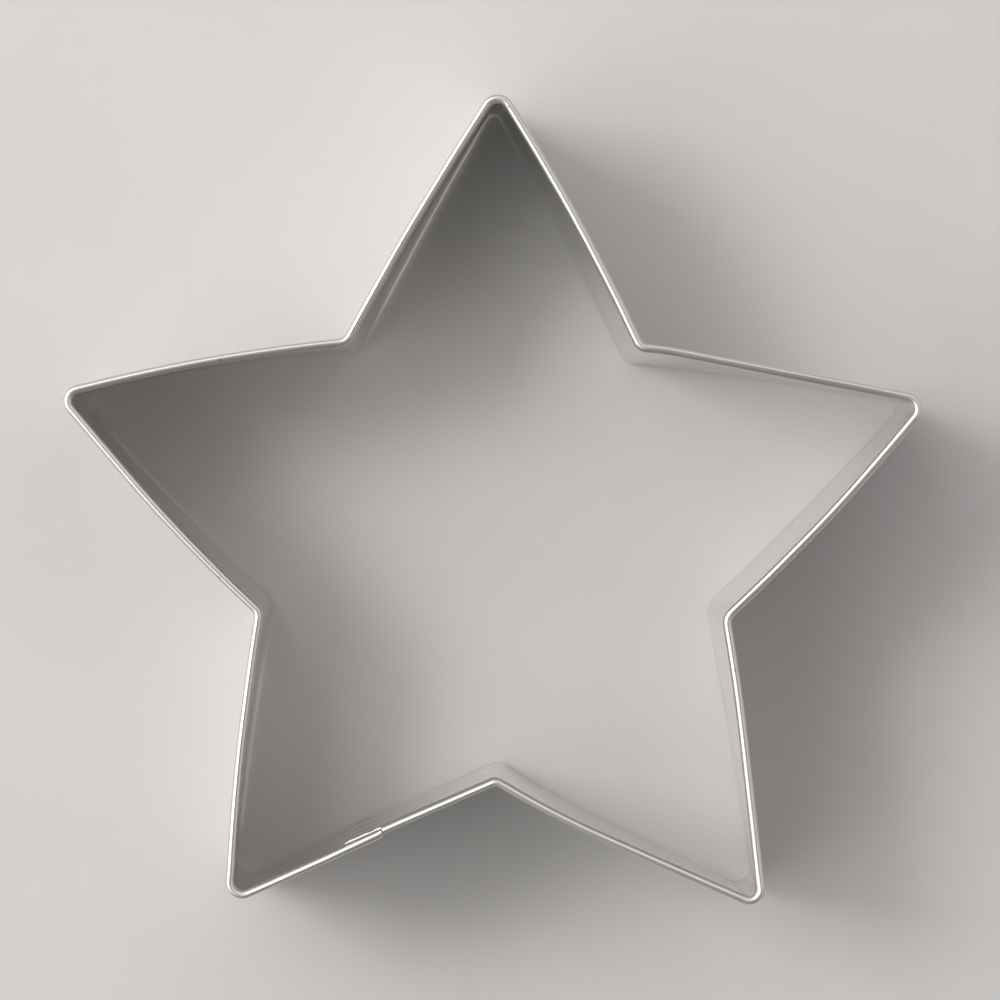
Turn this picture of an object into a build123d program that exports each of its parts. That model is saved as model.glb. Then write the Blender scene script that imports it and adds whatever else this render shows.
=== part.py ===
from build123d import *
from math import atan2, degrees, radians, tan
import os

os.makedirs("parts", exist_ok=True)

# A five-pointed star cookie cutter: one strip of polished stainless sheet, hemmed along
# its top edge, bent round the star and closed by spot welds where its two ends overlap.
# It stands on its cutting edge. +X is towards the right arm and +Y towards the top arm.

# The whole cutter
star_span = 89.0  # left point to right point, over the rim
band_height = 25.4  # cutting edge to the crown of the rim

# The sheet and its folded rim
sheet = 0.3
hem_gap = 0.3  # open space inside the fold, between the wall and the folded leg
hem_leg = 2.2  # straight part of the leg, below the round of the fold
hem_mouth = 0.08  # space left at the foot of the leg, which leans towards the wall
tip_length = 0.75  # at the cut end of the outer ply the fold is pinched over this length
tip_gap = 0.06  # and nearly shut at the very end
edge_break = 0.05  # the sheared edges of the sheet are dulled by this much

# The bends, each measured on its hollow side
point_radius = 0.8  # inside the wall, at the five points
notch_radius = 0.8  # outside the rim, in the five notches

# The lap, on the lower edge of the lower-left arm
lap_length = 3.9
ply_gap = 0.03  # between the two plies
hem_clearance = 0.15  # the inner ply's hem stops this far short of the outer ply
tab_drop = 0.2  # the inner ply, trimmed of its hem, ends this far under the crown
lap_lead = 2.0  # the inner ply turns into the lap this far before the outer ply starts
lap_radius = 40.0  # the gentle bend there

# The spot welds
weld_diameter = 2.4
weld_dent = 0.04  # depth of the mark that each electrode leaves
weld_mark_share = 0.8  # of a weld's radius, the flat of its electrode mark
weld_count = 3
weld_edge_margin = 4.5  # the lowest weld's centre above the cutting edge
weld_leg_margin = 3.2  # the highest one's below the foot of the folded leg

cut_overrun = 1.0  # how far a cut runs past both faces

# Corners of the wall's inner face before bending, as shares of the span. The order is
# the strip's: from the lap, clockwise as seen from above. The last share is the bend's
# radius, of the driving radius for a point or for a notch.
corner_shares = {
    "lower_left_point": (-0.3020, -0.4590, 1.00),
    "left_notch": (-0.2670, -0.1290, 0.95),
    "left_point": (-0.4968, 0.1200, 0.95),
    "upper_left_notch": (-0.1675, 0.1790, 1.15),
    "top_point": (0.0050, 0.4707, 1.15),
    "upper_right_notch": (0.1680, 0.1725, 0.90),
    "right_point": (0.4979, 0.1115, 1.05),
    "right_notch": (0.2660, -0.1355, 1.30),
    "lower_right_point": (0.3075, -0.4665, 0.90),
    "bottom_notch": (0.0035, -0.3210, 0.65),
}

# The straight edges are slightly bowed. Each bows out from a place along it, a share of
# its length, by a share of the span.
bow_shares = {
    "left_notch": (0.50, 0.0075),
    "left_point": (0.39, 0.0085),
    "upper_left_notch": (0.50, 0.0105),
    "top_point": (0.45, 0.0053),
    "upper_right_notch": (0.50, 0.0090),
    "right_point": (0.09, 0.0025),
    "right_notch": (0.50, 0.0097),
    "lower_right_point": (0.33, 0.0034),
    "bottom_notch": (0.74, 0.0073),
}
bow_reach_share = 0.8  # of the shorter straight beside a bow's middle

# Where the outer ply of the lap starts, as shares of the span
lap_start_shares = (-0.1318, -0.3836)

# The pinched end of the fold: shares of its length from the cut end, each with the share
# of the way from nearly shut to fully open that the fold has reached there.
tip_shares = ((0.0, 0.0), (0.4, 0.7), (1.0, 1.0))

rim_width = 2 * sheet + hem_gap

# The strip's line is the inner face of its wall, from the end of the pinched tip on the
# outer ply to the end of the hem on the inner ply. Its left-hand side is outside the star.
corners = {}
for corner_name, shares in corner_shares.items():
    corners[corner_name] = Vector(shares[0] * star_span, shares[1] * star_span)
lap_start = Vector(lap_start_shares[0] * star_span, lap_start_shares[1] * star_span)
lap_direction = (corners["lower_left_point"] - lap_start).normalized()
lap_outward = lap_direction.rotate(Axis.Z, 90)


def bow_point(start, end, along_share, out_share):
    """The middle point of a bowed edge: a share of the way along, then square outwards."""
    outward = (end - start).normalized().rotate(Axis.Z, 90)
    return start + (end - start) * along_share + outward * (out_share * star_span)


route = [lap_start + lap_direction * tip_length]
route_radii = [0]
bow_places = []
for corner_name, corner in corners.items():
    if corner_name in bow_shares:
        bow_places.append(len(route))
        route.append(bow_point(route[-1], corner, *bow_shares[corner_name]))
        route_radii.append(0)
    route.append(corner)
    bend_share = corner_shares[corner_name][2]
    if corner_name.endswith("point"):
        route_radii.append(bend_share * point_radius)
    else:
        route_radii.append(bend_share * notch_radius + rim_width)

# The inner ply runs into the lap parallel to the outer one, a sheet and a gap inside it.
inner_line = lap_start - lap_outward * (sheet + ply_gap)
route.append(inner_line - lap_direction * lap_lead)
route_radii.append(lap_radius)
route.append(inner_line - lap_direction * hem_clearance)


def turn_slope(place):
    """Tangent of half the angle by which the route turns at one of its points."""
    before = route[place] - route[place - 1]
    after = route[place + 1] - route[place]
    return tan(radians(before.get_angle(after)) / 2)


def side_left(place, bend_place):
    """The straight between a bow's middle and a bend, less what the bend itself takes up."""
    return (route[place] - route[bend_place]).length - route_radii[bend_place] * turn_slope(bend_place)


# A bow's curve takes up its share of the shorter of the two straights beside its middle.
for place in bow_places:
    shorter = min(side_left(place, place - 1), side_left(place, place + 1))
    route_radii[place] = bow_reach_share * shorter / turn_slope(place)

with BuildLine() as strip_line:
    FilletPolyline(*route, radius=route_radii[1:])

sheared_edge = [(0, edge_break), (edge_break, 0), (sheet - edge_break, 0), (sheet, edge_break)]
lap_thickness = 2 * sheet + ply_gap
tab_height = band_height - tab_drop


def across_strip(origin):
    """A plane square to the lap: its x axis points out of the star and its y axis up."""
    return Plane(origin=origin, x_dir=lap_outward, z_dir=lap_direction)


def strip_section(origin, gap):
    """Wall, fold and leg. The leg leans in from the fold until only the mouth is open."""
    mouth = hem_mouth * gap / hem_gap
    lean = degrees(atan2(gap - mouth, hem_leg))
    crown_radius = sheet + gap / 2
    fold_centre = (crown_radius, band_height - crown_radius)
    with BuildSketch(across_strip(origin)) as section:
        with BuildLine():
            fold_inside = CenterArc(fold_centre, gap / 2, 180, -180 - lean)
            fold_outside = CenterArc(fold_centre, crown_radius, 180, -180 - lean)
            leg_inside = Line(fold_inside @ 1, fold_inside @ 1 + (fold_inside % 1) * hem_leg)
            leg_outside = Line(fold_outside @ 1, fold_outside @ 1 + (fold_outside % 1) * hem_leg)
            Line(leg_inside @ 1, leg_outside @ 1)
            Polyline(fold_outside @ 0, *sheared_edge, fold_inside @ 0)
        make_face()
    return section.sketch


tip_sections = []
for along_share, open_share in tip_shares:
    tip_place = lap_start + lap_direction * (along_share * tip_length)
    tip_sections.append(strip_section(tip_place, tip_gap + (hem_gap - tip_gap) * open_share))

# The welds stand in the middle of the lap. Their holes start on a plane that faces out of
# the star, a cut's overrun inside the inner ply, with its y axis up.
lap_middle = inner_line + lap_direction * (lap_length / 2)
hole_start = lap_middle - lap_outward * cut_overrun
hole_plane = Plane(origin=hole_start, x_dir=-lap_direction, z_dir=lap_outward)
lowest_weld = weld_edge_margin
highest_weld = band_height - rim_width / 2 - hem_leg - weld_leg_margin
weld_pitch = (highest_weld - lowest_weld) / (weld_count - 1)
weld_heights = [lowest_weld + weld_pitch * number for number in range(weld_count)]

# The strip: the pinched tip, then one section carried round the star. Past the end of its
# hem the inner ply goes on as a bare tab, to the end of the lap.
with BuildPart() as star_band:
    loft(tip_sections)
    sweep(strip_section(route[0], hem_gap), path=strip_line.wires()[0])
    with BuildSketch(across_strip(route[-1])):
        with BuildLine():
            Polyline(*sheared_edge, (sheet, tab_height), (0, tab_height), close=True)
        make_face()
    extrude(amount=lap_length + hem_clearance)
    with BuildSketch(hole_plane):
        with Locations([(0, height) for height in weld_heights]):
            Circle(weld_diameter / 2)
    extrude(amount=lap_thickness + 2 * cut_overrun, mode=Mode.SUBTRACT)
star_band.part.label = "star_band"
export_step(star_band.part, "parts/star_band.step")

# The spot welds: melted sheet that fills the space of a round hole through both plies,
# with the shallow mark of an electrode on each face.
weld_radius = weld_diameter / 2
mark_radius = weld_radius * weld_mark_share
for number, height in enumerate(weld_heights, start=1):
    weld_origin = lap_middle + Vector(0, 0, height)
    with BuildPart() as spot_weld:
        with BuildSketch(across_strip(weld_origin)):
            with BuildLine():
                Polyline(
                    (weld_dent, 0),
                    (weld_dent, mark_radius),
                    (0, weld_radius),
                    (lap_thickness, weld_radius),
                    (lap_thickness - weld_dent, mark_radius),
                    (lap_thickness - weld_dent, 0),
                    close=True,
                )
            make_face()
        revolve(axis=Axis(weld_origin, lap_outward))
    spot_weld.part.label = f"spot_weld_{number}"
    export_step(spot_weld.part, f"parts/spot_weld_{number}.step")

bounds = star_band.part.bounding_box()
print("box", bounds.min, bounds.max)
print("solids", len(star_band.part.solids()), "valid", star_band.part.is_valid)
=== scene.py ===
# %% [markdown]
# # A polished star cookie cutter
# The real cutter is one long strip of thin stainless sheet. Its top edge is folded over for
# the hand, its lower edge is left plain to cut, and the strip is bent into a star and closed
# by three spot welds. Almost all that we see of it is reflection, so this lesson is about
# two things: a surface smooth enough to reflect well, and something worth reflecting.
#
# We start with the measured model. It comes in as fixed pieces, and nothing here moves them.

import bpy
import numpy as np
from mathutils import Matrix, Vector


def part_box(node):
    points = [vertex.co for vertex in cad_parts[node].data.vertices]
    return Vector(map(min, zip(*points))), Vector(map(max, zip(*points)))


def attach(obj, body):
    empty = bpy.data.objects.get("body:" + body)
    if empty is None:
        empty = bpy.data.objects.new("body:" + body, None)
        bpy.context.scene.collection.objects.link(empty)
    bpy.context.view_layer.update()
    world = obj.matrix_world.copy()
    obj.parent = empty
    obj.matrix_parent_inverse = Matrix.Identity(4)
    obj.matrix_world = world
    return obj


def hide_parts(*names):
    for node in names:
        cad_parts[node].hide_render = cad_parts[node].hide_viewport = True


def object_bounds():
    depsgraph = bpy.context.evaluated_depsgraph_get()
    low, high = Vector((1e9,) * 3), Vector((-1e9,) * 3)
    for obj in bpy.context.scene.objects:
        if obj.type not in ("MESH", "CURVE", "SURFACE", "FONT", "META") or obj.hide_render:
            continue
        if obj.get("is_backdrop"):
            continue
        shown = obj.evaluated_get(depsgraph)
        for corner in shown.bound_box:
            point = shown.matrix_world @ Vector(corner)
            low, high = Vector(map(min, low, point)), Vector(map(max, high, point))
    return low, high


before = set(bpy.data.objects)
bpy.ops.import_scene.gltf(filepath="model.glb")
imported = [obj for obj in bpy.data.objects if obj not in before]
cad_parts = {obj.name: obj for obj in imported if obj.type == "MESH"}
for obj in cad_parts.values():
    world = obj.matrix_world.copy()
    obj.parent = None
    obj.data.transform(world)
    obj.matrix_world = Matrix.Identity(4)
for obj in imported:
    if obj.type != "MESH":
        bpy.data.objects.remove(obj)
cad_low, cad_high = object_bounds()
print("measured pieces:", sorted(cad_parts))
print("box in mm:", [round(1000 * side, 1) for side in cad_high - cad_low])

# %% [markdown]
# All lengths below are millimetres, as on a drawing, and `mm` turns them into Blender's
# metres. The height and the span are read from the measured model, so that the two can't
# drift apart.

# %% The sheet and its fold
mm = 0.001
band_height = (cad_high.z - cad_low.z) / mm
star_span = (cad_high.x - cad_low.x) / mm
sheet = 0.3
hem_gap = 0.3
hem_leg = 2.2
hem_mouth = 0.08
edge_break = 0.05
rim_width = 2 * sheet + hem_gap
print("the rim is", round(rim_width, 2), "mm wide and", round(band_height, 2), "mm up")

# %% [markdown]
# ## The line of the strip
# The strip is bent by hand in a jig, so no two arms are quite alike, and its edges bow
# outwards a little. The rim is also stiffer than the wall: at the cutting edge the points
# reach further out and the notches further in. So the star needs two lines, one at the rim
# and one at the cutting edge, and the wall is the straight sheet between them.
#
# Each line is a few corners, as shares of the span, with the radius of each bend in
# millimetres. They go clockwise from the lower-left point: a point, a notch, and so on to
# the notch at the bottom. Between two corners stands the middle of a bow: a share of the
# way along, and how far it bows out. A drawing program would round these corners with arcs,
# and the next cells do the same for whole arrays at once.

# %% Corners of the rim's line and of the cutting edge's line
rim_shares = np.array((
    (-0.3020, -0.4590), (-0.2670, -0.1290), (-0.4968, 0.1200), (-0.1675, 0.1790),
    (0.0050, 0.4706), (0.1680, 0.1725), (0.4979, 0.1115), (0.2660, -0.1355),
    (0.3075, -0.4664), (0.0035, -0.3210),
))
rim_radii = np.array((0.80, 1.66, 0.76, 1.82, 0.92, 1.62, 0.84, 1.94, 0.72, 1.42))
rim_bow_shares = np.array((
    (0.50, 0.0075), (0.39, 0.0085), (0.50, 0.0105), (0.45, 0.0053), (0.50, 0.0090),
    (0.09, 0.0025), (0.50, 0.0097), (0.33, 0.0034), (0.74, 0.0073),
))
edge_shares = np.array((
    (-0.3126, -0.4710), (-0.2632, -0.1239), (-0.5062, 0.1265), (-0.1598, 0.1773),
    (0.0036, 0.4776), (0.1630, 0.1645), (0.5031, 0.1165), (0.2611, -0.1300),
    (0.3200, -0.4787), (0.0094, -0.3189),
))
edge_radii = np.array((1.70, 1.95, 1.45, 2.10, 0.90, 1.90, 1.05, 2.20, 1.50, 1.60))
edge_bow_shares = np.array((
    (0.50, 0.0068), (0.39, 0.0061), (0.50, 0.0103), (0.45, 0.0041), (0.50, 0.0025),
    (0.30, 0.0027), (0.50, 0.0065), (0.33, 0.0029), (0.74, 0.0068),
))
bow_reach_share = 0.8
furthest = np.abs((edge_shares - rim_shares) * star_span).max()
print("corners:", len(rim_shares), " the edge leaves the rim's line by up to", round(furthest, 2), "mm")

# %% [markdown]
# The two ends of the strip overlap on the lower edge of the lower-left arm. There both
# lines run straight and exactly above each other, because the welds hold the plies flat.

# %% The lap
lap_start = np.array((-0.1318, -0.3836)) * star_span
lap_length = 3.9
ply_gap = 0.03
hem_clearance = 0.15
tab_drop = 0.2
lap_lead = 2.0
lap_flat = 5.2
tip_length = 0.75
tip_gap = 0.06

lap_direction = rim_shares[0] * star_span - lap_start
lap_direction = lap_direction / np.linalg.norm(lap_direction)
lap_outward = np.array((-lap_direction[1], lap_direction[0]))
inner_line = lap_start - lap_outward * (sheet + ply_gap)
print("the lap runs towards", lap_direction.round(3), "and faces", lap_outward.round(3))

# %% [markdown]
# A route is the row of points that a line would run through if nothing were rounded: the
# lap's start, the corners with the bows' middles between them, and the lap's inner end. For
# each point we also work out its reach, which is how much of its two sides the bend takes.

# %% From corners to a route
def square_out(direction):
    """Unit vectors a quarter turn to the left of some directions: out of the star."""
    unit = direction / np.linalg.norm(direction, axis=-1, keepdims=True)
    return np.stack((-unit[..., 1], unit[..., 0]), axis=-1)


def route_of(shares, radii, bow_shares):
    """Points of one line, and each bend's reach: the length it takes of each side.

    A bend of radius r that turns by an angle a takes r times tan(a / 2) of its two sides.
    A bow takes its share of whatever its neighbours leave of the shorter side. The two
    slight bends at the ends of the lap take a third of its lead.
    """
    corners = shares * star_span
    sides = np.diff(corners, axis=0)
    middles = corners[:-1] + sides * bow_shares[:, :1]
    middles = middles + square_out(sides) * bow_shares[:, 1:] * star_span
    points = np.empty((2 * len(corners) - 1, 2))
    points[0::2], points[1::2] = corners, middles
    start = lap_start + lap_direction * tip_length
    flat_end = lap_start + lap_direction * lap_flat
    lead = inner_line - lap_direction * lap_lead
    end = inner_line - lap_direction * hem_clearance
    points = np.vstack((start, flat_end, points, lead, end))

    before = np.diff(points[:-1], axis=0)
    after = np.diff(points[1:], axis=0)
    lengths = np.linalg.norm(np.diff(points, axis=0), axis=1)
    cosine = (before * after).sum(1) / (lengths[:-1] * lengths[1:])
    half_turns = np.arccos(np.clip(cosine, -1, 1)) / 2
    reaches = np.full(len(points) - 2, lap_lead / 3)
    reaches[1:-1:2] = radii * np.tan(half_turns[1:-1:2])
    bows = np.arange(2, len(reaches) - 2, 2)
    side_before = lengths[bows] - reaches[bows - 1]
    side_after = lengths[bows + 1] - reaches[bows + 1]
    reaches[bows] = bow_reach_share * np.minimum(side_before, side_after)
    return points, reaches, half_turns


rim_route = route_of(rim_shares, rim_radii, rim_bow_shares)
edge_route = route_of(edge_shares, edge_radii, edge_bow_shares)
print("points on each route:", len(rim_route[0]))

# %% [markdown]
# A circular arc can be written as a blend of three points: where it starts, the corner it
# rounds, and where it ends, with weights (1-k)^2, 2wk(1-k) and k^2. If w is the cosine of
# half the turn, the blend is an exact circle, and if the turn is nothing it is a straight
# line, so one formula serves sharp bends and gentle bows. Both lines are divided into the
# same stations, so station 100 of the rim stands over station 100 of the cutting edge.

# %% Stations of one route
line_steps = 7
bend_steps = 22


def stations_of(points, reaches, half_turns):
    """Places and headings along a route: straight runs, then each bend as a blended arc.

    The heading on a bend is the blend's rate of change: top' times low less top times low'.
    """
    corner = points[1:-1]
    into = np.diff(points[:-1], axis=0)
    out = np.diff(points[1:], axis=0)
    into = into / np.linalg.norm(into, axis=1, keepdims=True)
    out = out / np.linalg.norm(out, axis=1, keepdims=True)
    bend_start = corner - into * reaches[:, None]
    bend_end = corner + out * reaches[:, None]
    run_start = np.vstack((points[:1], bend_end))
    run_end = np.vstack((bend_start, points[-1:]))
    heading = np.vstack((into, out[-1:]))

    t = np.linspace(0, 1, line_steps, endpoint=False)[None, :, None]
    runs = run_start[:, None] * (1 - t) + run_end[:, None] * t
    run_headings = np.broadcast_to(heading[:, None], runs.shape)

    k = np.linspace(0, 1, bend_steps, endpoint=False)[None, :, None]
    w = np.cos(half_turns)[:, None, None]
    a, b, c = bend_start[:, None], corner[:, None], bend_end[:, None]
    top = (1 - k) ** 2 * a + 2 * w * k * (1 - k) * b + k**2 * c
    low = (1 - k) ** 2 + 2 * w * k * (1 - k) + k**2
    top_rate = -2 * (1 - k) * a + 2 * w * (1 - 2 * k) * b + 2 * k * c
    low_rate = -2 * (1 - k) + 2 * w * (1 - 2 * k) + 2 * k
    bends = top / low
    bend_headings = top_rate * low - top * low_rate

    places = np.concatenate((runs[:-1], bends), axis=1).reshape(-1, 2)
    headings = np.concatenate((run_headings[:-1], bend_headings), axis=1).reshape(-1, 2)
    bend_turns = np.tile(half_turns[:, None], bend_steps)
    turning = np.concatenate((np.zeros_like(runs[:-1, :, 0]), bend_turns), axis=1)
    places = np.vstack((places, runs[-1], points[-1:]))
    headings = np.vstack((headings, run_headings[-1], heading[-1:]))
    turning = np.append(turning.reshape(-1), np.zeros(line_steps + 1))
    return places, square_out(headings), turning


print("stations on each run and bend:", line_steps, bend_steps)

# %% [markdown]
# The pinched tip at the strip's cut end gets closer stations of its own, ahead of the rest.
# The distance along the rim, `along`, is what everything that changes on the way is told by.

# %% Stations of both lines
tip_steps = 10
rim_line, rim_outward, turning = stations_of(*rim_route)
edge_line, edge_outward, _ = stations_of(*edge_route)
tip_share = (tip_length * np.arange(tip_steps) / tip_steps)[:, None]
tip_places = lap_start + lap_direction * tip_share
tip_outward = np.broadcast_to(lap_outward, tip_places.shape)
rim_line, edge_line = np.vstack((tip_places, rim_line)), np.vstack((tip_places, edge_line))
rim_outward = np.vstack((tip_outward, rim_outward))
edge_outward = np.vstack((tip_outward, edge_outward))
turning = np.append(np.zeros(tip_steps), turning)
along = np.append(0, np.cumsum(np.linalg.norm(np.diff(rim_line, axis=0), axis=1)))
print("stations:", len(along), " length of the strip in mm:", round(along[-1], 1))

# %% [markdown]
# ## The section of the strip
# Cut through, the strip is a long wall whose top is folded round a small gap and down the
# outside. The fold is pinched nearly shut at the strip's cut end, so the section is worked
# out for every station with that station's own gap.

# %% Section points for a row of gaps
wall_steps, fold_steps, inner_steps, leg_steps = 22, 26, 12, 5
foot_shares = np.array((0.12, 0.5, 0.88))


def fold_section(gap):
    """Closed outline, outwards and up, for each gap: wall, fold, leg, and back inside it.

    The fold is two half circles about one centre. The leg runs on from them at a lean
    whose tangent is the part of the gap that closes, over the leg's length.
    """
    gap = gap[:, None]
    lean = np.arctan2(gap * (1 - hem_mouth / hem_gap), hem_leg)
    crown = sheet + gap / 2
    centre = band_height - crown
    wall = np.linspace(0, 1, wall_steps)[None, :]
    turn = np.pi - (np.pi + lean) * np.linspace(0, 1, fold_steps)[None, :]
    inner_turn = -lean + (np.pi + lean) * np.linspace(0, 1, inner_steps)[None, :]
    leg = np.linspace(0, 1, leg_steps)[None, 1:]
    foot = foot_shares[None, :]
    blank = np.zeros_like(gap)
    down_out, down_up = -np.sin(lean), -np.cos(lean)

    wall_up = (blank + 0 * wall[:, :-1], edge_break + (centre - edge_break) * wall[:, :-1])
    fold_out = (crown + crown * np.cos(turn), centre + crown * np.sin(turn))
    leg_out = (
        fold_out[0][:, -1:] + down_out * hem_leg * leg,
        fold_out[1][:, -1:] + down_up * hem_leg * leg,
    )
    leg_foot = (
        leg_out[0][:, -1:] - np.cos(lean) * sheet * foot + down_out * edge_break,
        leg_out[1][:, -1:] + np.sin(lean) * sheet * foot + down_up * edge_break,
    )
    fold_in = (crown + gap / 2 * np.cos(inner_turn), centre + gap / 2 * np.sin(inner_turn))
    leg_in = (
        fold_in[0][:, :1] + down_out * hem_leg * leg[:, ::-1],
        fold_in[1][:, :1] + down_up * hem_leg * leg[:, ::-1],
    )
    wall_down = (sheet + 0 * wall[:, 1:] + blank, centre - (centre - edge_break) * wall[:, 1:])
    lip = (blank + np.array((sheet - edge_break, edge_break)), blank + np.zeros(2))
    pieces = (wall_up, fold_out, leg_out, leg_foot, leg_in, fold_in, wall_down, lip)
    return np.hstack([piece[0] for piece in pieces]), np.hstack([piece[1] for piece in pieces])


open_share = np.sqrt(np.clip(1 - (1 - np.clip(along / tip_length, 0, 1)) ** 2, 0, 1))
gaps = tip_gap + (hem_gap - tip_gap) * open_share
section_out, section_up = fold_section(gaps)
columns = section_out.shape[1]
print("points in each section:", columns)

# %% [markdown]
# ## From section to surface
# Every section point is carried twice, once along each line, square to it. Its height then
# says how much of each it takes: all of the cutting edge's line at the bottom, and all of
# the rim's line at the top. That makes the wall a ruled surface, which is what sheet does.
#
# Polished sheet is never quite flat, and it is the slow dents and swells, a few hundredths
# of a millimetre deep, that make its reflections swim. They are a handful of sine waves
# with seeded directions, and they fade out in the lap, which the welds keep
# flat, and near the sharp bends, which keep themselves stiff.

# %% Slow swells
rng = np.random.default_rng(31)
swell_depth = 0.012
swell_count = 14
swell_lengths = rng.uniform(7, 30, swell_count)
swell_leans = rng.uniform(-1.2, 1.2, swell_count)
swell_phases = rng.uniform(0, 2 * np.pi, swell_count)


def smooth(value):
    """0 below 0, 1 above 1, and 3v^2 - 2v^3 between them."""
    value = np.clip(value, 0, 1)
    return value * value * (3 - 2 * value)


def swell(distance, height):
    """Sum of plane waves over the unrolled strip: depth * mean(sin(2 pi way / length))."""
    total = np.zeros(np.broadcast(distance, height).shape)
    for length, lean, phase in zip(swell_lengths, swell_leans, swell_phases):
        way = distance * np.cos(lean) + height * np.sin(lean)
        total += np.sin(2 * np.pi * way / length + phase)
    return swell_depth * total / np.sqrt(swell_count)


sharp_turn = 0.3
lap_rest, bend_rest = 1, 0.5
lap_fade, bend_fade = 5, 6
sharp_bend = along[turning > sharp_turn]
from_bend = np.abs(along[:, None] - sharp_bend).min(axis=1)
fade = smooth((along - lap_length - lap_rest) / lap_fade)
fade = fade * smooth((along[-1] - lap_lead - along) / lap_fade)
fade = fade * smooth((from_bend - bend_rest) / bend_fade)
wave = swell(along[:, None], section_up) * fade[:, None]
print("swells up to", round(float(np.abs(wave).max()), 3), "mm")

# %% [markdown]
# The fold did not come out even either. Along the lower sides of the star its outer half
# stands a little higher than its inner half, so the crown slopes towards the inside, and
# its bright line moves away from the wall.
#
# Nor does the cutting edge touch the table everywhere. It rests on the two lower points and
# the two side points. Between them it stands off by a tenth or two, and by most along the
# left side of the top arm, which lets a thin line of light in below it.
#
# Both are short tables: a distance along the strip, and the slope or the lift there.

# %% Slope of the crown and lift of the cutting edge
crown_slopes = np.array((
    (0, 0.0), (7, 0.38), (14, 0.44), (18, 0.06), (101, 0.06), (107, 0.03), (161, 0.03),
    (166, 0.18), (187, 0.18), (194, 0.0), (219, 0.0), (225, 0.10), (248, 0.10), (254, 0.34),
    (295, 0.44),
))
edge_lifts = np.array((
    (0, 0.0), (16, 0.0), (23, 0.24), (38, 0.24), (45, 0.06), (53, 0.18), (68, 0.18), (75, 0.0),
    (83, 0.14), (97, 0.14), (104, 0.12), (111, 0.32), (128, 0.32), (134, 0.20), (140, 0.17),
    (156, 0.17), (163, 0.03), (178, 0.05), (192, 0.0), (207, 0.06), (222, 0.02), (236, 0.05),
    (251, 0.0), (266, 0.07), (280, 0.03), (290, 0.0),
))
lift_reach = 10.0
fold_depth = 1.2
fold_fade = 0.6


def lift(distance, height):
    """How far the metal is lifted: the edge's lift there, times smooth(1 - height / reach)."""
    total = np.interp(distance, *edge_lifts.T)
    return total[:, None] * smooth(1 - height / lift_reach)


slope = np.interp(along, *crown_slopes.T)[:, None]
in_fold = smooth((section_up - band_height + fold_depth) / fold_fade)
crown_middle = (sheet + gaps / 2)[:, None]
crown_rise = crown_middle * (np.sqrt(1 + slope**2) - 1)
sloped_up = section_up + in_fold * (slope * (section_out - crown_middle) - crown_rise)
lifted_up = sloped_up + lift(along, section_up)
print("steepest slope:", round(slope.max(), 2), " highest lift in mm:", edge_lifts[:, 1].max())

# %% [markdown]
# Now the two lines, the section, its swells, its slope and its lift meet in one array of
# places. It could also be a curve object with a bevel, but that knows only one line.

# %% Points of the strip
def carry(out, up):
    """Section points, out and up for each station, as places in the star's frame.

    A place is the edge line's times one less its share of the height, and the rim line's
    times that share, each line first moved out squarely.
    """
    share = (up / band_height)[..., None]
    low = edge_line[:, None] + edge_outward[:, None] * out[..., None]
    high = rim_line[:, None] + rim_outward[:, None] * out[..., None]
    return np.dstack((low * (1 - share) + high * share, up))


strip_places = carry(section_out + wave, lifted_up)
print("places on the strip:", strip_places.shape)

# %% [markdown]
# A grid of places becomes a mesh when each place is joined to its neighbours. The section is
# a closed outline, so the grid closes on itself that way, and each end gets one flat cap.
# Three things are written down for the finish: a map of the unrolled strip in millimetres,
# so that polishing lines can follow the metal round each bend, which faces are sheared
# edges, because those were never polished, and how sharply the metal is bent.

# %% Grids to meshes
def mesh_of_grid(name, places, distance, sheared, bend):
    """Closed tube of stations by outline points, with caps, in metres.

    Face (i, j) joins (i, j), (i+1, j), (i+1, j+1), (i, j+1), which faces outwards for an
    outline that runs clockwise as seen from ahead.
    """
    rows, columns = places.shape[:2]
    i, j = np.meshgrid(np.arange(rows - 1), np.arange(columns), indexing="ij")
    this, ahead, next_j = i * columns, (i + 1) * columns, (j + 1) % columns
    quads = np.stack((this + j, ahead + j, ahead + next_j, this + next_j), -1).reshape(-1, 4)
    start_cap = np.arange(columns)
    end_cap = (rows - 1) * columns + np.arange(columns)[::-1]

    mesh = bpy.data.meshes.new(name)
    faces = quads.tolist() + [start_cap.tolist(), end_cap.tolist()]
    mesh.from_pydata((places.reshape(-1, 3) * mm).tolist(), [], faces)

    outline = places[rows // 2]
    steps = np.linalg.norm(np.diff(outline, axis=0, append=outline[:1]), axis=1)
    around = np.append(0, np.cumsum(steps))
    corners = ((i, j), (i + 1, j), (i + 1, j + 1), (i, j + 1))
    face_uv = np.stack([np.stack((distance[a], around[b]), -1) for a, b in corners], axis=2)
    cap_uv = [
        np.stack((np.full(columns, distance[row]), around[order]), -1)
        for row, order in ((0, start_cap), (rows - 1, start_cap[::-1]))
    ]
    all_uv = np.vstack((face_uv.reshape(-1, 2), *cap_uv)).astype(np.float32)
    unrolled = mesh.uv_layers.new(name="unrolled")
    unrolled.data.foreach_set("uv", all_uv.ravel())

    cut = np.append(np.tile(sheared, rows - 1), (1, 1)).astype(np.float32)
    mesh.attributes.new("sheared", "FLOAT", "FACE").data.foreach_set("value", cut)
    bent = np.repeat(bend, columns).astype(np.float32)
    mesh.attributes.new("bent", "FLOAT", "POINT").data.foreach_set("value", bent)
    mesh.polygons.foreach_set("use_smooth", np.ones(len(mesh.polygons), bool))
    return mesh


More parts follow.
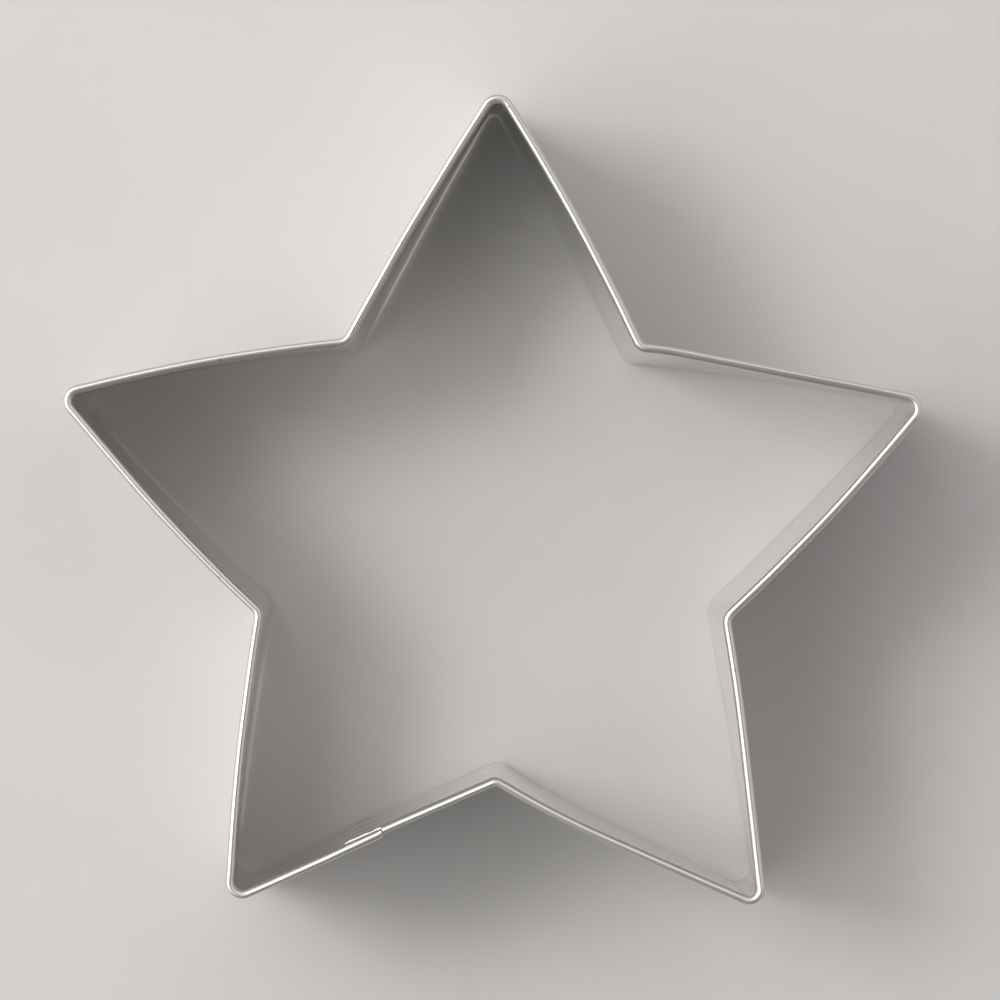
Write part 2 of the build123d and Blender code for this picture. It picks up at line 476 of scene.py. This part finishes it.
lip_faces = 3
full_bend = 0.6
foot_first = wall_steps - 1 + fold_steps + leg_steps - 1 - 1
strip_sheared = np.zeros(columns)
strip_sheared[foot_first:foot_first + len(foot_shares) + 1] = 1
strip_sheared[-lip_faces:] = 1
strip_mesh = mesh_of_grid("strip", strip_places, along, strip_sheared, smooth(turning / full_bend))
print("strip:", len(strip_mesh.vertices), "vertices,", len(strip_mesh.polygons), "faces")

# %% [markdown]
# Past its hem the inner ply goes on as a bare tab behind the outer one. Its top was snipped
# a little lower than the rim. Snips leave a bright, slightly ragged edge. They also thin the
# sheet there, round one of its corners over and leave the other one sharp.
#
# The tab is a grid as well. Its outline is a tall thin rectangle: up the inner face, over
# the rounded corner, down the outer face and back below.

# %% Outline of the bare tab
tab_length = lap_length + hem_clearance
tab_top = band_height - tab_drop
tab_start = inner_line - lap_direction * hem_clearance
roll_over = 0.09
pinch = 0.08
pinch_depth = 0.3
half = sheet / 2
low_steps, high_steps = 10, 6

pinch_start = 1 - pinch_depth / tab_top
side_low = np.linspace(0, pinch_start, low_steps)[1:]
side_high = np.linspace(pinch_start, 1, high_steps)[1:-1]
side_up = np.append(side_low, side_high)
side_flat = np.zeros_like(side_up)
roll_turn = np.radians((0, 30, 60, 90))
roll = roll_over * (1 - np.cos(roll_turn))
fall = roll_over * (1 - np.sin(roll_turn))
outline_out = np.concatenate((
    np.full(len(side_up) + 1, -half), roll - half, (half - edge_break,),
    np.full(len(side_up) + 2, half), (half - edge_break, edge_break - half),
))
outline_share = np.concatenate(((0,), side_up, np.ones(len(roll) + 2), side_up[::-1], np.zeros(3)))
outline_lift = np.concatenate((
    (edge_break,), side_flat, -fall, (0, -edge_break), side_flat, (edge_break, 0, 0),
))
print("points in the tab's outline:", len(outline_out))

# %% [markdown]
# Along its length the tab keeps that outline. Only its top wanders a little, and its far end
# is dulled, as every sheared edge is. The same sine waves as before, run through faster,
# serve for the raggedness.

# %% The bare tab of the inner ply
tab_steps_count = 40
end_turn = np.array((1, 0.5, 0))
end_inset = (0.1, 0.35, 1.0)
rag_depth, rag_rate, rag_rest = 0.035, 9, 0.5
pinch_wander, pinch_rate, pinch_shift = 0.35, 11, 40

tab_run = np.linspace(0, tab_length - 2 * edge_break, tab_steps_count)
tab_steps = np.concatenate((tab_run, tab_length - edge_break * end_turn))
inset = edge_break * np.concatenate((np.zeros(tab_steps_count), end_inset))
ragged = rag_depth * swell(tab_steps * rag_rate, 0) / swell_depth * smooth(tab_steps / rag_rest)
squeeze = 1 - inset[:, None] / half
tab_out = half + outline_out[None, :] * squeeze
tab_up = outline_share[None, :] * (tab_top + ragged[:, None] - inset[:, None]) + outline_lift[None, :]
tab_up = tab_up + (1 - outline_share[None, :]) * inset[:, None]
wander = swell(tab_steps * pinch_rate + pinch_shift, 0) / swell_depth
uneven = pinch * (1 + pinch_wander * wander)
pinched = uneven[:, None] * smooth((tab_up - tab_top + pinch_depth) / pinch_depth) * (outline_out < 0)
tab_flat = tab_start + lap_direction * tab_steps[:, None]
tab_places = np.dstack((tab_flat[:, None] + lap_outward * (tab_out + pinched)[..., None], tab_up))

tab_sheared = np.zeros(len(outline_out))
top_first = len(side_up) + 3
tab_sheared[top_first:top_first + 3] = 1
tab_sheared[-lip_faces:] = 1
unbent = np.zeros(len(tab_steps))
tab_mesh = mesh_of_grid("tab", tab_places, along[-1] + tab_steps, tab_sheared, unbent)
print("tab:", round(tab_length, 2), "mm long, its top at", round(tab_top, 2), "mm")

# %% [markdown]
# ## Weld holes
# The three welds are measured pieces of their own, plugs through both plies. The strip needs
# matching holes, or the plugs would be buried. Their places are read from the plugs, and the
# holes are cut by one mesh of three round bars.

# %% Bars for the weld holes
weld_names = sorted(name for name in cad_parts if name.startswith("spot_weld"))
weld_boxes = [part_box(name) for name in weld_names]
weld_middles = np.array([(low + high) / 2 for low, high in weld_boxes]) / mm
weld_radius = float((weld_boxes[0][1].z - weld_boxes[0][0].z) / 2) / mm
hole_sides = 64
hole_reach = 1.5

turn = np.linspace(0, 2 * np.pi, hole_sides, endpoint=False)
ring = np.stack((np.cos(turn), np.sin(turn)), -1) * weld_radius
k = np.arange(hole_sides)
hole_vertices, hole_faces = [], []
for middle in weld_middles:
    base = len(hole_vertices)
    for reach in (-hole_reach, hole_reach):
        sideways = ring[:, :1] * np.append(lap_direction, 0) + ring[:, 1:] * np.array((0, 0, 1))
        hole_vertices.extend((middle + sideways + np.append(lap_outward, 0) * reach) * mm)
    near, far, step = base + k, base + hole_sides + k, (k + 1) % hole_sides
    sides = np.stack((near, base + step, base + hole_sides + step, far), -1)
    hole_faces += sides[:, ::-1].tolist() + [near.tolist(), far[::-1].tolist()]
cutter_mesh = bpy.data.meshes.new("weld_holes")
cutter_mesh.from_pydata([tuple(place) for place in hole_vertices], [], hole_faces)
cutter = bpy.data.objects.new("weld_holes", cutter_mesh)
bpy.context.scene.collection.objects.link(cutter)
print("welds at", weld_middles.round(2).tolist(), "of radius", round(weld_radius, 2))

# %% [markdown]
# Both plies are cut, and then joined into one piece that stands for the measured strip. An
# edge sharper than the angle below stays crisp, and all others are shaded smooth.

# %% Cutting the weld holes
sharp_angle = 38


def with_holes(mesh):
    """The mesh less the cutter, as a new mesh."""
    piece = bpy.data.objects.new(mesh.name, mesh)
    bpy.context.scene.collection.objects.link(piece)
    cut = piece.modifiers.new("holes", "BOOLEAN")
    cut.operation, cut.object, cut.solver = "DIFFERENCE", cutter, "EXACT"
    bpy.context.view_layer.update()
    evaluated = piece.evaluated_get(bpy.context.evaluated_depsgraph_get())
    result = bpy.data.meshes.new_from_object(evaluated)
    bpy.data.objects.remove(piece)
    return result


cut_meshes = [with_holes(strip_mesh), with_holes(tab_mesh)]
bpy.data.objects.remove(cutter)
pair = [bpy.data.objects.new(mesh.name, mesh) for mesh in cut_meshes]
for piece in pair:
    bpy.context.scene.collection.objects.link(piece)
with bpy.context.temp_override(active_object=pair[0], selected_editable_objects=pair):
    bpy.ops.object.join()
band = pair[0]
band.name = band.data.name = "polished_strip"
band.data.set_sharp_from_angle(angle=np.radians(sharp_angle))
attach(band, "root")
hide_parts("star_band")
print("band:", len(band.data.vertices), "vertices")

# %% [markdown]
# ## Finishes
# Each shared effect is a node group with named inputs and one plain output. The groups only
# make masks and heights. What a mask does to colour, roughness or bump is decided in the
# material. The tools below make a node with its links in one line.

# %% Tools for nodes
VALUE, VECTOR = "NodeSocketFloat", "NodeSocketVector"


def new_group(name, inputs, output):
    """An empty node group with named number or vector inputs and one number output."""
    group = bpy.data.node_groups.new(name, "ShaderNodeTree")
    for label, kind, value in inputs:
        socket = group.interface.new_socket(label, in_out="INPUT", socket_type=kind)
        if value is not None:
            socket.default_value = value
    group.interface.new_socket(output, in_out="OUTPUT", socket_type=VALUE)
    given = group.nodes.new("NodeGroupInput").outputs
    return group, given, group.nodes.new("NodeGroupOutput").inputs[output]


def node(tree, kind, links=(), **settings):
    """A node with settings, and its inputs either linked to a socket or set to a value."""
    made = tree.nodes.new(kind)
    for label, value in settings.items():
        setattr(made, label, value)
    for label, source in dict(links).items():
        if isinstance(source, bpy.types.NodeSocket):
            tree.links.new(source, made.inputs[label])
        else:
            made.inputs[label].default_value = source
    return made


def sums(tree, operation, *values):
    """The result of one sum over sockets or numbers."""
    return node(tree, "ShaderNodeMath", dict(enumerate(values)), operation=operation).outputs[0]


def stretch(tree, value, low, high, to_low=0.0, to_high=1.0, kind="LINEAR"):
    """A value between low and high, stretched to a new range and kept inside it."""
    ends = {"From Min": low, "From Max": high, "To Min": to_low, "To Max": to_high}
    links = {"Value": value, **ends}
    return node(tree, "ShaderNodeMapRange", links, interpolation_type=kind).outputs[0]


def noise(tree, place, scale, detail, roughness=0.5):
    """Cloudy noise between 0 and 1."""
    links = {"Vector": place, "Scale": scale, "Detail": detail, "Roughness": roughness}
    return node(tree, "ShaderNodeTexNoise", links).outputs["Fac"]


def drawn_out(tree, place, length, width):
    """A map for noise: the first coordinate over a length, and the second over a width."""
    split = node(tree, "ShaderNodeSeparateXYZ", {"Vector": place})
    slow = sums(tree, "DIVIDE", split.outputs["X"], length)
    quick = sums(tree, "DIVIDE", split.outputs["Y"], width)
    return node(tree, "ShaderNodeCombineXYZ", {"X": slow, "Y": quick}).outputs[0]


print("node tools ready")

# %% [markdown]
# Polishing lines run along the strip, because that is how it passed the polishing wheels.
# They are noise drawn out along the first coordinate of the unrolled map: slow along the
# strip, quick across it. The material uses them twice, as fine lines and as broad streaks.

# %% Group: lines along the strip
lines_group, given, made = new_group(
    "polishing_lines",
    [("Unrolled", VECTOR, None), ("Line Length", VALUE, 20.0), ("Line Width", VALUE, 0.05)],
    "Height",
)
drawn = drawn_out(lines_group, given["Unrolled"], given["Line Length"], given["Line Width"])
lines_group.links.new(noise(lines_group, drawn, 1.0, 3.0, 0.6), made)
print("group:", lines_group.name, len(lines_group.nodes), "nodes")

# %% [markdown]
# Handling leaves short scratches in all directions. One layer is again drawn-out noise, with
# its map turned by an angle, and only the highest ridges are kept, so that most of the
# surface stays clean. Slow noise decides where there are any.

# %% Group: scratches
ridge_top, ridge_step = 0.86, 0.05
patch_scale, patch_low, patch_high = 0.12, 0.4, 0.62
scratch_group, given, made = new_group(
    "scratches",
    [("Unrolled", VECTOR, None), ("Angle", VALUE, 0.5), ("Scratch Length", VALUE, 6.0),
     ("Scratch Width", VALUE, 0.05), ("Amount", VALUE, 0.12)],
    "Mask",
)
links = {"Vector": given["Unrolled"], "Angle": given["Angle"]}
turned = node(scratch_group, "ShaderNodeVectorRotate", links, rotation_type="Z_AXIS").outputs[0]
drawn = drawn_out(scratch_group, turned, given["Scratch Length"], given["Scratch Width"])
ridges = noise(scratch_group, drawn, 1.0, 1.0)
least = sums(scratch_group, "SUBTRACT", ridge_top, given["Amount"])
most = sums(scratch_group, "ADD", least, ridge_step)
kept = stretch(scratch_group, ridges, least, most)
patches = noise(scratch_group, given["Unrolled"], patch_scale, 2.0)
patches = stretch(scratch_group, patches, patch_low, patch_high)
scratch_group.links.new(sums(scratch_group, "MULTIPLY", kept, patches), made)
print("group:", scratch_group.name, len(scratch_group.nodes), "nodes")

# %% [markdown]
# Fingers and flour leave a faint film. It is slow, blotchy noise in the object's own space,
# in millimetres like everything else here.

# %% Group: film
film_top = 0.85
film_group, given, made = new_group(
    "film",
    [("Place", VECTOR, None), ("Patch Size", VALUE, 9.0), ("Amount", VALUE, 0.5)],
    "Mask",
)
sizes = node(film_group, "ShaderNodeCombineXYZ", {axis: given["Patch Size"] for axis in "XYZ"})
links = {0: given["Place"], 1: sizes.outputs[0]}
shrunk = node(film_group, "ShaderNodeVectorMath", links, operation="DIVIDE").outputs[0]
blotches = noise(film_group, shrunk, 1.0, 5.0, 0.62)
film_least = sums(film_group, "SUBTRACT", 1.0, given["Amount"])
film_mask = stretch(film_group, blotches, film_least, film_top, kind="SMOOTHSTEP")
film_group.links.new(film_mask, made)
print("group:", film_group.name, len(film_group.nodes), "nodes")

# %% [markdown]
# A spot weld heats a ring of steel round it just enough to tan it. The crown also gets a
# few small dark spots, painted shade where dents would break its bright line. Both are soft
# hills over the distance from some middle: full up to a radius, and gone at a further
# reach. Where there are several, the largest wins.

# %% Group: a soft spot
spot_group, given, made = new_group(
    "soft_spot",
    [("Place", VECTOR, None), ("Middle", VECTOR, None), ("Radius", VALUE, 1.2),
     ("Reach", VALUE, 1.0)],
    "Mask",
)
links = {0: given["Place"], 1: given["Middle"]}
away = node(spot_group, "ShaderNodeVectorMath", links, operation="DISTANCE").outputs["Value"]
over = sums(spot_group, "SUBTRACT", away, given["Radius"])
far = sums(spot_group, "DIVIDE", over, given["Reach"])
spot_group.links.new(stretch(spot_group, far, 1.0, 0.0, kind="SMOOTHSTEP"), made)
print("group:", spot_group.name, len(spot_group.nodes), "nodes")

# %% [markdown]
# The cutting edge is dragged over boards and pushed through dough. The lowest part of the
# wall is scuffed in a line that comes and goes, so its mask is a thin band by height,
# broken up by noise that is drawn out along the strip. The material uses the same mask to
# paint this band darker, as painted shade where the cutting edge meets the table.

# %% Group: worn edge and painted contact shade
worn_and_shade_full = 0.3
scuff_map, scuff_low, scuff_high = (0.5, 7.0, 1.0), 0.42, 0.68
worn_and_shade_group, given, made = new_group(
    "worn_edge_and_contact_shade",
    [("Place", VECTOR, None), ("Unrolled", VECTOR, None), ("Height", VALUE, 0.35)],
    "Mask",
)
above = node(worn_and_shade_group, "ShaderNodeSeparateXYZ", {"Vector": given["Place"]}).outputs["Z"]
level = sums(worn_and_shade_group, "DIVIDE", above, given["Height"])
near_edge = stretch(worn_and_shade_group, level, 1.0, worn_and_shade_full, kind="SMOOTHSTEP")
links = {0: given["Unrolled"], 1: scuff_map}
drawn = node(worn_and_shade_group, "ShaderNodeVectorMath", links, operation="MULTIPLY").outputs[0]
scuffs = stretch(worn_and_shade_group, noise(worn_and_shade_group, drawn, 1.0, 3.0), scuff_low, scuff_high)
worn_and_shade_group.links.new(sums(worn_and_shade_group, "MULTIPLY", near_edge, scuffs), made)
print("group:", worn_and_shade_group.name, len(worn_and_shade_group.nodes), "nodes")

# %% [markdown]
# A material is a Principled shader whose colour, roughness and normal come from layers. Each
# layer is a mask from a group, and the tools here put one layer over another.

# %% Tools for materials
def new_material(name):
    """A node material with its Principled shader joined to the output."""
    material = bpy.data.materials.new(name)
    material.use_nodes = True
    tree = material.node_tree
    tree.nodes.clear()
    output = tree.nodes.new("ShaderNodeOutputMaterial")
    shader = tree.nodes.new("ShaderNodeBsdfPrincipled")
    tree.links.new(shader.outputs[0], output.inputs["Surface"])
    return material, tree, shader


def use_group(tree, group, links):
    """The output of a copy of a group in a material, with its inputs linked or set."""
    made = tree.nodes.new("ShaderNodeGroup")
    made.node_tree = group
    for label, source in links.items():
        if isinstance(source, bpy.types.NodeSocket):
            tree.links.new(source, made.inputs[label])
        else:
            made.inputs[label].default_value = source
    return made.outputs[0]


def mix_colour(tree, mask, first, second):
    """A colour between two, by a mask."""
    made = tree.nodes.new("ShaderNodeMix")
    made.data_type = "RGBA"
    tree.links.new(mask, made.inputs["Factor"])
    for label, source in (("A", first), ("B", second)):
        socket = [s for s in made.inputs if s.name == label and s.type == "RGBA"][0]
        if isinstance(source, bpy.types.NodeSocket):
            tree.links.new(source, socket)
        else:
            socket.default_value = (*source, 1)
    return [s for s in made.outputs if s.type == "RGBA"][0]


def largest_spot(tree, place, middles, radius, reach):
    """The largest of one soft spot round each of some middles."""
    largest = None
    for middle in middles:
        links = {"Place": place, "Middle": tuple(map(float, middle))}
        spot = use_group(tree, spot_group, {**links, "Radius": radius, "Reach": reach})
        largest = spot if largest is None else sums(tree, "MAXIMUM", largest, spot)
    return largest


def place_in_mm(tree):
    """Object coordinates in millimetres."""
    where = tree.nodes.new("ShaderNodeTexCoord").outputs["Object"]
    links = {0: where, "Scale": 1 / mm}
    return node(tree, "ShaderNodeVectorMath", links, operation="SCALE").outputs["Vector"]


print("material tools ready")

# %% [markdown]
# ### Polished steel
# The metal is bright and slightly warm, with low roughness. We gather its masks first: lines
# and streaks along the strip, two layers of scratches, film, the tan rings round the welds,
# four small dark spots of painted shade on the crown where dents would break its bright line,
# the scuffed lower edge, which also carries painted contact shade, and the sheared edges.

# %% Polished band: masks
fine_length, fine_width = 26.0, 0.06
streak_length, streak_width = 45.0, 0.4
scratch_layers = ((0.32, 5.0, 0.09, 0.17), (-0.8, 3.5, 0.08, 0.15))
film_patch, film_share = 11.0, 0.52
halo_reach = 1.1
worn_and_shade_height = 1.0
# painted shade: four small dark spots on the crown, where dents would break its bright line
dent_shade_radius, dent_shade_reach, dent_shade_drop = 0.04, 0.14, 0.05
dent_shade_stations = ((50.7, 0.72), (134.6, 0.30), (227.6, 0.50), (90.6, 0.38))
dent_shade_places = []
for at, out in dent_shade_stations:
    line = rim_line + rim_outward * out
    x, y = np.interp(at, along, line[:, 0]), np.interp(at, along, line[:, 1])
    dent_shade_places.append((x, y, band_height - dent_shade_drop))

polished, tree, shader = new_material("polished_steel")
unrolled = node(tree, "ShaderNodeUVMap", uv_map="unrolled").outputs["UV"]
place = place_in_mm(tree)
sheared = node(tree, "ShaderNodeAttribute", attribute_name="sheared").outputs["Fac"]
bent = node(tree, "ShaderNodeAttribute", attribute_name="bent").outputs["Fac"]
along_strip = {"Unrolled": unrolled}
lines, streaks = [
    use_group(tree, lines_group, {**along_strip, "Line Length": length, "Line Width": width})
    for length, width in ((fine_length, fine_width), (streak_length, streak_width))
]
scratch_labels = ("Angle", "Scratch Length", "Scratch Width", "Amount")
scratch_masks = [
    use_group(tree, scratch_group, {**along_strip, **dict(zip(scratch_labels, layer))})
    for layer in scratch_layers
]
scratches = sums(tree, "MAXIMUM", *scratch_masks)
links = {"Place": place, "Patch Size": film_patch, "Amount": film_share}
film = use_group(tree, film_group, links)
halo = largest_spot(tree, place, weld_middles, weld_radius, halo_reach)
painted_dent_shade = largest_spot(tree, place, dent_shade_places, dent_shade_radius, dent_shade_reach)
worn_and_contact_shade = use_group(tree, worn_and_shade_group, {**along_strip, "Place": place, "Height": worn_and_shade_height})
print("knocks at", np.round(dent_shade_places, 1).tolist())

# %% [markdown]
# The colour starts as clean steel, and each mask lays its own tone over it, at most as
# strongly as its share says. The order matters: a bare sheared edge hides all the others.

# %% Polished band: colour
steel = (0.74, 0.73, 0.71)
colour_layers = (
    (film, 0.5, (0.60, 0.58, 0.55)),
    (halo, 0.3, (0.52, 0.40, 0.27)),
    (scratches, 0.45, (0.52, 0.51, 0.50)),
    # painted shade: dark spots on the crown where dents would break its bright line
    (painted_dent_shade, 1.0, (0.30, 0.29, 0.28)),
    # wear and painted shade: the scuffed band by the cutting edge is painted darker for the shade where
    # it meets the table
    (worn_and_contact_shade, 1.0, (0.46, 0.45, 0.44)),
    (sheared, 1.0, (0.86, 0.86, 0.85)),
)
colour = steel
for mask, share, tone in colour_layers:
    colour = mix_colour(tree, sums(tree, "MULTIPLY", mask, share), colour, tone)
tree.links.new(colour, shader.inputs["Base Color"])
shader.inputs["Metallic"].default_value = 1.0
print("steel:", steel, "under", len(colour_layers), "layers of colour")

# %% [markdown]
# Roughness is a sum. The polish itself gives very little, and a bit more on its lines and
# streaks. The crown is rougher, because hands rub it. Film, scratches and stretched bends
# add a little, and worn or sheared metal adds most.

# %% Polished band: roughness
polish_least, polish_most, streak_most = 0.03, 0.08, 0.05
streak_low, streak_high = 0.3, 0.7
crown_foot, crown_top, crown_most = 1.2, 0.5, 0.27

high = node(tree, "ShaderNodeSeparateXYZ", {"Vector": place}).outputs["Z"]
crown = stretch(tree, high, band_height - crown_foot, band_height - crown_top, 0.0, crown_most)
rough = stretch(tree, lines, 0.0, 1.0, polish_least, polish_most)
rough = sums(tree, "ADD", rough, crown)
broad = stretch(tree, streaks, streak_low, streak_high, 0.0, streak_most)
rough = sums(tree, "ADD", rough, broad)
bare = sums(tree, "MAXIMUM", sheared, worn_and_contact_shade)
for mask, share in ((film, 0.08), (scratches, 0.22), (bent, 0.05), (bare, 0.30)):
    rough = sums(tree, "MULTIPLY_ADD", mask, share, rough)
tree.links.new(rough, shader.inputs["Roughness"])
print("roughness from", polish_least, "on the walls, and", crown_most, "more on the crown")

# %% [markdown]
# Bump is kept tiny, because a mirror shows every slope: lines and streaks stand up a few
# thousandths of a millimetre, and scratches are cut in as deep.

# %% Polished band: relief
relief_depth = 0.004
relief = sums(tree, "MULTIPLY", lines, 0.08)
for height, share in ((streaks, 0.4), (scratches, -0.5)):
    relief = sums(tree, "MULTIPLY_ADD", height, share, relief)
links = {"Height": relief, "Strength": 1.0, "Distance": relief_depth * mm}
tree.links.new(node(tree, "ShaderNodeBump", links).outputs[0], shader.inputs["Normal"])
band.data.materials.clear()
band.data.materials.append(polished)
print("material:", polished.name, len(tree.nodes), "nodes")

# %% [markdown]
# ### Weld metal
# An electrode leaves a satin, slightly dished mark that is darker than the sheet, and
# browner towards its rim, with a fine grain pressed into it.

# %% Welds
weld_grey = (0.68, 0.66, 0.63)
weld_brown = (0.55, 0.48, 0.40)
mark_patch, mark_share = 0.5, 0.6
core_radius = 0.3
weld_least, weld_most = 0.22, 0.4
pit_scale, pit_strength, pit_depth = 6.0, 0.5, 0.02

welded, tree, shader = new_material("pressed_weld")
place = place_in_mm(tree)
links = {"Place": place, "Patch Size": mark_patch, "Amount": mark_share}
marks = use_group(tree, film_group, links)
weld_core = largest_spot(tree, place, weld_middles, core_radius, weld_radius)
colour = mix_colour(tree, weld_core, weld_brown, weld_grey)
colour = mix_colour(tree, marks, colour, weld_brown)
tree.links.new(colour, shader.inputs["Base Color"])
shader.inputs["Metallic"].default_value = 1.0
rough = stretch(tree, marks, 0.0, 1.0, weld_least, weld_most)
tree.links.new(rough, shader.inputs["Roughness"])
pits = noise(tree, place, pit_scale, 3.0)
links = {"Height": pits, "Strength": pit_strength, "Distance": pit_depth * mm}
tree.links.new(node(tree, "ShaderNodeBump", links).outputs[0], shader.inputs["Normal"])
for name in weld_names:
    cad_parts[name].data.materials.clear()
    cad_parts[name].data.materials.append(welded)
print("material:", welded.name, "on", weld_names)

# %% [markdown]
# ## The studio
# A pale, plain tabletop, and light that does two jobs. It has to fall on the table from the
# left so that the star throws its shadow to the right, and it has to be wide, because the
# rounded rim is a tiny mirror that shows the whole room as stripes.

# %% Tabletop
table_side = 4.0
table_tone = (0.60, 0.59, 0.58)
table_dark = (0.56, 0.55, 0.54)
cloud_scale = 0.05
table_least, table_most = 0.55, 0.75

half_side = table_side / 2
corners = [(x * half_side, y * half_side, 0) for x, y in ((-1, -1), (1, -1), (1, 1), (-1, 1))]
table_mesh = bpy.data.meshes.new("tabletop")
table_mesh.from_pydata(corners, [], [(0, 1, 2, 3)])
table = bpy.data.objects.new("tabletop", table_mesh)
bpy.context.scene.collection.objects.link(table)
paint, tree, shader = new_material("pale_board")
clouds = noise(tree, place_in_mm(tree), cloud_scale, 6.0, 0.6)
colour = mix_colour(tree, clouds, table_tone, table_dark)
tree.links.new(colour, shader.inputs["Base Color"])
rough = stretch(tree, clouds, 0.0, 1.0, table_least, table_most)
tree.links.new(rough, shader.inputs["Roughness"])
table_mesh.materials.append(paint)
table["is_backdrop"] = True
print("tabletop:", table_side, "m square, tone", table_tone)

# %% [markdown]
# Four panels of light stand round the star. The window is the wide, soft one on the left,
# the key is a small strong one in front of it that draws the shadow's edge, and the two
# walls are dim. Each makes one stripe on the crown, so its place follows from the stripe.

# %% Lights
def soft_box(name, turn, height, distance, width, tall, brightness, tint):
    """A flat panel of light that faces the star: turn and height are degrees round and up.

    A panel of some brightness and area gives out pi * brightness * area in all.
    """
    turn, height = np.radians(turn), np.radians(height)
    sideways = np.cos(height)
    toward = Vector((sideways * np.cos(turn), sideways * np.sin(turn), np.sin(height)))
    light = bpy.data.lights.new(name, "AREA")
    light.shape, light.size, light.size_y = "RECTANGLE", width, tall
    light.energy, light.color = np.pi * brightness * width * tall, tint
    lamp = bpy.data.objects.new(name, light)
    bpy.context.scene.collection.objects.link(lamp)
    lamp.location = toward * distance
    lamp.rotation_euler = toward.to_track_quat("Z", "Y").to_euler()
    print(name, "gives out", round(light.energy, 2), "W")


soft_box("window", 171, 42, 1.2, 2.0, 1.5, 1.6, (1.0, 0.99, 0.98))
soft_box("key", 160, 48, 1.15, 0.4, 0.4, 10.0, (1.0, 0.98, 0.96))
soft_box("far_wall", 88, 40, 1.3, 1.5, 1.2, 0.60, (1.0, 0.97, 0.97))
soft_box("right_wall", 16, 40, 1.3, 1.6, 1.2, 0.64, (1.0, 0.96, 0.97))

# %% [markdown]
# The rest of the room is even and dim, and darker straight overhead, where a camera on its
# stand hides the ceiling.

# %% Room
room_light, overhead_light = 0.20, 0.06
overhead_from, overhead_to = 0.95, 0.995
room_tint = (1.0, 0.98, 0.97, 1)

world = bpy.data.worlds.new("room")
bpy.context.scene.world = world
world.use_nodes = True
tree = world.node_tree
tree.nodes.clear()
where = tree.nodes.new("ShaderNodeTexCoord").outputs["Generated"]
height = node(tree, "ShaderNodeSeparateXYZ", {"Vector": where}).outputs["Z"]
ends = (overhead_from, overhead_to, room_light, overhead_light)
strength = stretch(tree, height, *ends, kind="SMOOTHSTEP")
background = node(tree, "ShaderNodeBackground", {"Strength": strength, "Color": room_tint})
output = tree.nodes.new("ShaderNodeOutputWorld")
tree.links.new(background.outputs[0], output.inputs["Surface"])
print("room:", room_light, "all round and", overhead_light, "overhead")

# %% [markdown]
# ## The camera
# It looks down from a bit over half a metre, through a long lens, very slightly left of and
# above the middle of the star. The distance is known from how much the cutting edge shrinks
# against the rim.

# %% Camera
camera_place = Vector((-4.946, 3.042, 564.4)) * mm
camera_target = Vector((0.693, -0.010, band_height)) * mm
camera_data = bpy.data.cameras.new("camera")
camera_data.sensor_width = 36.0
camera_data.lens = 187.5
camera = bpy.data.objects.new("camera", camera_data)
bpy.context.scene.collection.objects.link(camera)
back = (camera_place - camera_target).normalized()
right = Vector((0, 1, 0)).cross(back).normalized()
up = back.cross(right)
turned = Matrix((right, up, back)).transposed().to_4x4()
camera.matrix_world = Matrix.Translation(camera_place) @ turned
bpy.context.scene.camera = camera
bpy.context.scene.view_settings.view_transform = "Standard"
print("camera:", round((camera_place - camera_target).length / mm), "mm above the rim")

# %% Sizes of the measured and the visual boxes
new_low, new_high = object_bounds()
sizes = {"cad": [list(cad_low), list(cad_high)], "visual": [list(new_low), list(new_high)]}
print("measured box", [round(value / mm, 2) for value in (*cad_low, *cad_high)])
print("visual box  ", [round(value / mm, 2) for value in (*new_low, *new_high)])
